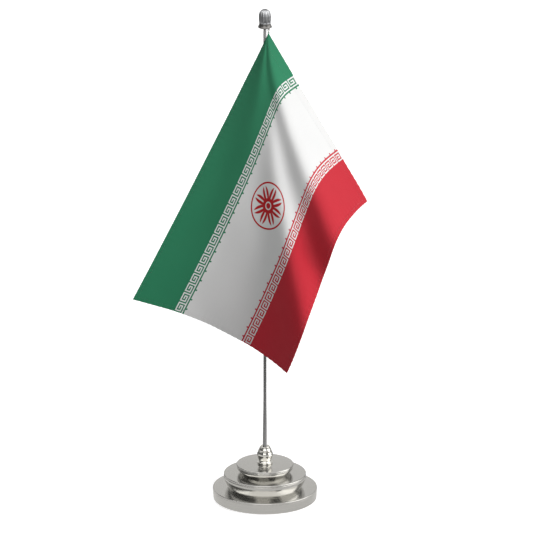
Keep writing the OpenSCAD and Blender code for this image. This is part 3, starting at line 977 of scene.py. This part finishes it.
class FLAGSTAND_OT_sheet(bpy.types.Operator):
    """Drapes the printed satin flag with its hems, stitches, corner patch and loop"""

    bl_idname = "flagstand.sheet"
    bl_label = "Flag"

    def doubled(self, name, sheet, fly, hoist, lifts, hem):
        """Two copies of a piece of cloth, each lifted off the middle, joined round the edge."""
        rows, columns = fly.shape
        count = rows * columns
        points = np.concatenate([cloth_surface(sheet, fly, hoist, lift).reshape(-1, 3) for lift in lifts])
        flat = np.stack((fly / sheet.fly, hoist / sheet.hoist), axis=-1).reshape(-1, 2)
        faces = grid_faces(rows, columns)
        index = np.arange(count).reshape(rows, columns)
        edge = np.concatenate((index[0, :-1], index[:-1, -1], index[-1, :0:-1], index[:0:-1, 0]))
        after = np.roll(edge, -1)
        rim = np.stack((edge, after, after + count, edge + count), axis=-1)
        groups = [faces, faces[:, ::-1] + count, rim[:, ::-1]]
        # The hem mark sets where the satin's painted shade darkens the folded hem.
        marks = {"hem": np.tile(hem.reshape(-1), 2)}
        return make_mesh(name, points, groups, uv=np.tile(flat, (2, 1)), marks=marks, sharp=55)

    def cloth(self, sheet, material):
        """The printed sheet, whose back rises over the hems."""
        columns, rows = 262, 172
        fly, hoist = np.meshgrid(
            np.linspace(0, 1, columns) * sheet.fly, np.linspace(0, 1, rows) * sheet.hoist
        )
        folded = hem_share(sheet, fly, hoist)
        half = sheet.thickness / 2
        lifts = (-half, half + sheet.hem_rise * folded)
        piece = self.doubled("flag_sheet", sheet, fly, hoist, lifts, folded)
        return finished(piece, material, "printed_satin", "flag", "flag_cloth")

    def stitch_row(self, sheet, start, end, side):
        """Places along one straight seam: cloth coordinates of each stitch and the way the seam runs."""
        start, end = np.array(start), np.array(end)
        span = np.linalg.norm(end - start)
        count = int(span / sheet.stitch_pitch)
        share = (np.arange(count) + 0.5) / count
        place = start + (end - start) * share[:, None]
        way = np.repeat(((end - start) / span)[None, :], count, axis=0)
        return place, way, np.full(count, side)

    def stitches(self, sheet, material):
        """Every stitch is a small closed spindle laid on the cloth along the seam."""
        inset = sheet.hem - 0.9 * MM
        hoist_inset = sheet.hoist_hem - 0.9 * MM
        right, low = sheet.fly - inset, sheet.hoist - inset
        seams = (
            ((hoist_inset, inset), (right, inset)),
            ((right, inset), (right, low)),
            ((right, low), (hoist_inset, low)),
            ((hoist_inset, low), (hoist_inset, inset)),
        )
        rows = [self.stitch_row(sheet, a, b, side) for a, b in seams for side in (-1.0, 1.0)]
        place, way, side = (np.concatenate(parts) for parts in zip(*rows))
        fly, hoist = place[:, 0], place[:, 1]
        lift = side * (sheet.thickness / 2) + np.where(side > 0, sheet.hem_rise, 0)
        middle = cloth_surface(sheet, fly, hoist, lift)
        step = 0.6 * MM
        ahead = cloth_surface(sheet, fly + way[:, 0] * step, hoist + way[:, 1] * step, lift)
        along = ahead - middle
        along /= np.linalg.norm(along, axis=1, keepdims=True)
        out = cloth_normal(sheet, fly, hoist) * side[:, None]
        across = np.cross(along, out)
        reach = np.array((-0.78, -0.55, 0.0, 0.55, 0.78)) * MM
        girth = np.array((0.05, 0.12, 0.15, 0.12, 0.05)) * MM
        rings, sides = len(reach), 6
        round_ = np.arange(sides) * TURN / sides
        ring = girth[:, None] * np.stack((np.cos(round_), np.sin(round_)))[:, None, :]
        ring_across, ring_out = ring[0], ring[1]
        points = (
            middle[:, None, None, :]
            + along[:, None, None, :] * reach[None, :, None, None]
            + across[:, None, None, :] * ring_across[None, :, :, None]
            + out[:, None, None, :] * (ring_out + 0.02 * MM)[None, :, :, None]
        )
        per_stitch = rings * sides
        base = (np.arange(len(middle)) * per_stitch)[:, None, None]
        quads = (grid_faces(rings, sides, wrap=True)[None] + base).reshape(-1, 4)
        first = (np.arange(sides)[None, None, :] + base).reshape(-1, sides)
        last = (np.arange(per_stitch - sides, per_stitch)[None, None, ::-1] + base).reshape(-1, sides)
        uv = np.repeat(np.stack((fly / sheet.fly, hoist / sheet.hoist), axis=-1), per_stitch, axis=0)
        groups = [quads[:, ::-1], first, last]
        piece = make_mesh("hem_stitches", points, groups, uv=uv, sharp=80)
        return finished(piece, material, "tape", "flag")

    def corner_patch(self, sheet, material):
        """A square of satin folded over the hanging corner, a little off the cloth on both faces."""
        size, cells = 7 * MM, 15
        fly, hoist = np.meshgrid(np.linspace(0.02, 1, cells) * size, np.linspace(0.02, 1, cells) * size)
        rise = sheet.thickness / 2 + 0.06 * MM
        swell = 0.14 * MM * (1 - wave(np.maximum(fly, hoist), size - 0.7 * MM, size))
        lifts = (-(rise + swell), rise + sheet.hem_rise + swell)
        # The whole patch carries 0.4 of the hem's painted shade.
        piece = self.doubled("corner_patch", sheet, fly, hoist, lifts, np.full(fly.shape, 0.4))
        return finished(piece, material, "printed_satin", "flag")

    def corner_tape(self, material):
        """A narrow tape carried up, round the ring's wire and down again into the corner."""
        centre, radius, wire = hanging_ring()
        bend = wire + 0.35 * MM
        thick, width, leg = 0.13 * MM, 0.5 * MM, 2.2 * MM
        angle = np.radians(np.linspace(-35, 215, 26))
        over = np.stack((np.cos(angle) * bend, np.sin(angle) * bend), axis=-1)
        down = np.linspace(1, 0.05, 7)[:, None]
        foot_x = 0.16 * MM
        leg_x = foot_x + down * (over[0, 0] - foot_x)
        leg_z = over[0, 1] - leg * (1 - down)
        left_leg = np.concatenate((leg_x, leg_z), axis=1) * np.array((-1, 1))
        right_leg = left_leg[::-1] * np.array((-1, 1))
        path = np.concatenate((right_leg[:-1], over, left_leg[1:]))
        tangent = np.gradient(path, axis=0)
        tangent /= np.linalg.norm(tangent, axis=1, keepdims=True)
        side = np.stack((tangent[:, 1], -tangent[:, 0]), axis=-1)
        corner = np.array(((-1, -1), (1, -1), (1, 1), (-1, 1)))
        offset = side[:, None, :] * (corner[None, :, :1] * thick)
        points = np.zeros((len(path), 4, 3))
        points[..., 0] = centre.x + path[:, None, 0] + offset[..., 0]
        points[..., 1] = centre.y + corner[None, :, 1] * width
        points[..., 2] = centre.z - radius + path[:, None, 1] + offset[..., 1]
        faces = grid_faces(len(path), 4, wrap=True)
        last = 4 * (len(path) - 1)
        ends = np.array(((0, 1, 2, 3), (last + 3, last + 2, last + 1, last)))
        piece = make_mesh("corner_tape", points, [faces, ends[:, ::-1]], sharp=50)
        return finished(piece, material, "tape", "flag", "corner_loop")

    def execute(self, context):
        sheet, colours = context.scene.stand_sheet, context.scene.stand_colours
        satin = satin_finish("printed_satin", sheet, colours)
        cloth = self.cloth(sheet, satin)
        sewn = [
            self.stitches(sheet, thread_finish("sewing_thread", sheet, colours)),
            self.corner_patch(sheet, satin),
            self.corner_tape(tape_finish("woven_tape", colours.green)),
        ]
        return {"FINISHED"}


class FLAGSTAND_OT_stage(bpy.types.Operator):
    """Sets the pale floor, the soft lights and the camera"""

    bl_idname = "flagstand.stage"
    bl_label = "Stage"

    # Brightness and corners of each card, in metres.
    CARDS = {
        "back_card": (0.72, (-2.5, 1.7, 0.1), (2.5, 1.7, 0.1), (2.5, 1.7, 1.4), (-2.5, 1.7, 1.4)),
        "front_card": (1.4, (-0.55, -1.6, 0.2), (0.5, -1.6, 0.2), (0.5, -1.6, 1.38), (-0.55, -1.6, 1.38)),
        "top_card": (1.8, (-1.1, -1.6, 1.4), (1.0, -1.6, 1.4), (1.0, 0.3, 2.0), (-1.1, 0.3, 2.0)),
        "left_card": (0.12, (-1.5, -1.2, 0.35), (-1.5, 0.7, 0.35), (-1.5, 0.7, 1.2), (-1.5, -1.2, 1.2)),
        "right_card": (1.7, (1.5, -1.2, 0.0), (1.5, 0.7, 0.0), (1.5, 0.7, 1.2), (1.5, -1.2, 1.2)),
        "left_high_card": (2.6, (-1.4, -1.0, 1.6), (-1.4, 1.0, 1.6), (-1.1, 1.0, 2.2), (-1.1, -1.0, 2.2)),
        "right_high_card": (3.0, (1.5, -1.0, 1.25), (1.5, 1.0, 1.25), (1.05, 1.0, 1.9), (1.05, -1.0, 1.9)),
        "strip_card": (2.2, (-0.62, -1.3, 0.0), (-0.5, -1.35, 0.0), (-0.5, -1.35, 1.2), (-0.62, -1.3, 1.2)),
        "near_card": (0.73, (-0.6, 0.06, -0.01), (0.6, 0.06, -0.01), (0.9, -0.2, -0.01), (-0.9, -0.2, -0.01)),
        "spot_card": (
            2.6, (0.1, -0.06, -0.009), (0.24, -0.06, -0.009), (0.24, 0.04, -0.009), (0.1, 0.04, -0.009)
        ),
        "far_card": (
            0.12, (-0.9, -0.21, -0.01), (0.9, -0.21, -0.01), (1.3, -0.9, -0.01), (-1.3, -0.9, -0.01)
        ),
        "last_card": (
            0.5, (-1.3, -0.91, -0.01), (1.3, -0.91, -0.01), (1.6, -1.6, -0.01), (-1.6, -1.6, -0.01)
        ),
    }

    def floor(self, stage):
        """Square floor on which the stand rests."""
        half = stage.floor_size / 2
        points = np.array(((-half, -half, 0), (half, -half, 0), (half, half, 0), (-half, half, 0)))
        piece = make_mesh("pale_floor", points, [np.array(((0, 1, 2, 3),))])
        f = Finish("pale_floor", roughness=0.7)
        x, y, z = f.place()
        mottle = f.noise(f.vector(x, y, z), 3.0)
        f.give(Base_Color=f.blend(mottle, (0.86, 0.86, 0.86), (0.88, 0.88, 0.88)))
        f.shader.inputs["Emission Color"].default_value = (1, 1, 1, 1)
        f.shader.inputs["Emission Strength"].default_value = stage.floor_glow
        piece.data.materials.append(f.material)
        piece.visible_diffuse = False
        piece.visible_glossy = False

    def card(self, name, brightness, corners):
        """A flat card of even brightness, outside the view, that only the metal sees."""
        piece = make_mesh(name, np.array(corners), [np.array(((0, 1, 2, 3),))])
        f = Finish(name, roughness=1.0)
        f.shader.inputs["Base Color"].default_value = (0, 0, 0, 1)
        f.shader.inputs["Emission Color"].default_value = (1, 0.99, 0.97, 1)
        f.shader.inputs["Emission Strength"].default_value = brightness
        piece.data.materials.append(f.material)
        piece.visible_camera = False
        piece.visible_diffuse = False
        piece.visible_shadow = False

    def light(self, name, place, aim, size, power):
        """Rectangular soft light that looks at a point. The metal mirrors the cards and not the lights."""
        data = bpy.data.lights.new(name, "AREA")
        data.shape = "RECTANGLE"
        data.size, data.size_y = size
        data.energy = power
        lamp = bpy.data.objects.new(name, data)
        lamp.location = place
        lamp.visible_glossy = False
        lamp.rotation_euler = (Vector(aim) - Vector(place)).to_track_quat("-Z", "Y").to_euler()
        bpy.context.scene.collection.objects.link(lamp)

    def world(self, stage):
        """White light from all round."""
        world = bpy.data.worlds.new("studio")
        world.use_nodes = True
        background = world.node_tree.nodes["Background"]
        background.inputs["Color"].default_value = (1, 1, 1, 1)
        background.inputs["Strength"].default_value = stage.ambient
        bpy.context.scene.world = world

    def camera(self, stage):
        """Long lens at the stated elevation, so that the view is stage.view_width wide at the pole."""
        data = bpy.data.cameras.new("front_camera")
        data.sensor_width = 36
        data.lens = data.sensor_width * stage.distance / stage.view_width
        data.clip_end = 80
        aim = Vector((stage.aim_side, 0, stage.aim_height))
        back = Vector((0, -math.cos(stage.elevation), math.sin(stage.elevation)))
        camera = bpy.data.objects.new("front_camera", data)
        camera.location = aim + back * stage.distance
        camera.rotation_euler = (-back).to_track_quat("-Z", "Y").to_euler()
        bpy.context.scene.collection.objects.link(camera)
        bpy.context.scene.camera = camera

    def execute(self, context):
        stage = context.scene.stand_stage
        context.scene.view_settings.view_transform = "Standard"
        self.camera(stage)
        self.floor(stage)
        self.world(stage)
        aim = (0, 0, 0.22)
        self.light("key_light", (1.35, -0.8, 0.5), aim, (0.9, 1.2), stage.key_power)
        self.light("back_light", (-0.7, 1.6, 1.1), aim, (0.8, 0.8), stage.back_power)
        self.light("front_light", (-0.55, -2.2, 0.85), aim, (1.2, 1.2), stage.fill_power)
        for name, (brightness, *corners) in self.CARDS.items():
            self.card(name, brightness, corners)
        return {"FINISHED"}


class FLAGSTAND_PT_pieces(bpy.types.Panel):
    """Lists the pieces of the flag stand"""

    bl_idname = "FLAGSTAND_PT_pieces"
    bl_label = "Flag stand"
    bl_space_type = "VIEW_3D"
    bl_region_type = "UI"
    bl_category = "Flag stand"

    def draw(self, context):
        for operator in OPERATORS:
            self.layout.operator(operator.bl_idname)


GROUPS = {
    "stand_metal": StandMetalSettings,
    "stand_sheet": StandSheetSettings,
    "stand_colours": StandColourSettings,
    "stand_stage": StandStageSettings,
}
OPERATORS = (
    FLAGSTAND_OT_stage,
    FLAGSTAND_OT_tiers,
    FLAGSTAND_OT_fixings,
    FLAGSTAND_OT_socket,
    FLAGSTAND_OT_pole,
    FLAGSTAND_OT_finial,
    FLAGSTAND_OT_ring,
    FLAGSTAND_OT_sheet,
)


def register():
    """Adds the settings, the operators and the panel."""
    for name, group in GROUPS.items():
        bpy.utils.register_class(group)
        setattr(bpy.types.Scene, name, bpy.props.PointerProperty(type=group))
    for operator in OPERATORS:
        bpy.utils.register_class(operator)
    bpy.utils.register_class(FLAGSTAND_PT_pieces)


def unregister():
    """Takes away what register added."""
    bpy.utils.unregister_class(FLAGSTAND_PT_pieces)
    for operator in reversed(OPERATORS):
        bpy.utils.unregister_class(operator)
    for name, group in reversed(GROUPS.items()):
        delattr(bpy.types.Scene, name)
        bpy.utils.unregister_class(group)


def main():
    """Makes every piece in order."""
    register()
    bpy.ops.flagstand.stage()
    bpy.ops.flagstand.tiers()
    bpy.ops.flagstand.fixings()
    bpy.ops.flagstand.socket()
    bpy.ops.flagstand.pole()
    bpy.ops.flagstand.finial()
    bpy.ops.flagstand.ring()
    bpy.ops.flagstand.sheet()


if __name__ == "__main__":
    main()
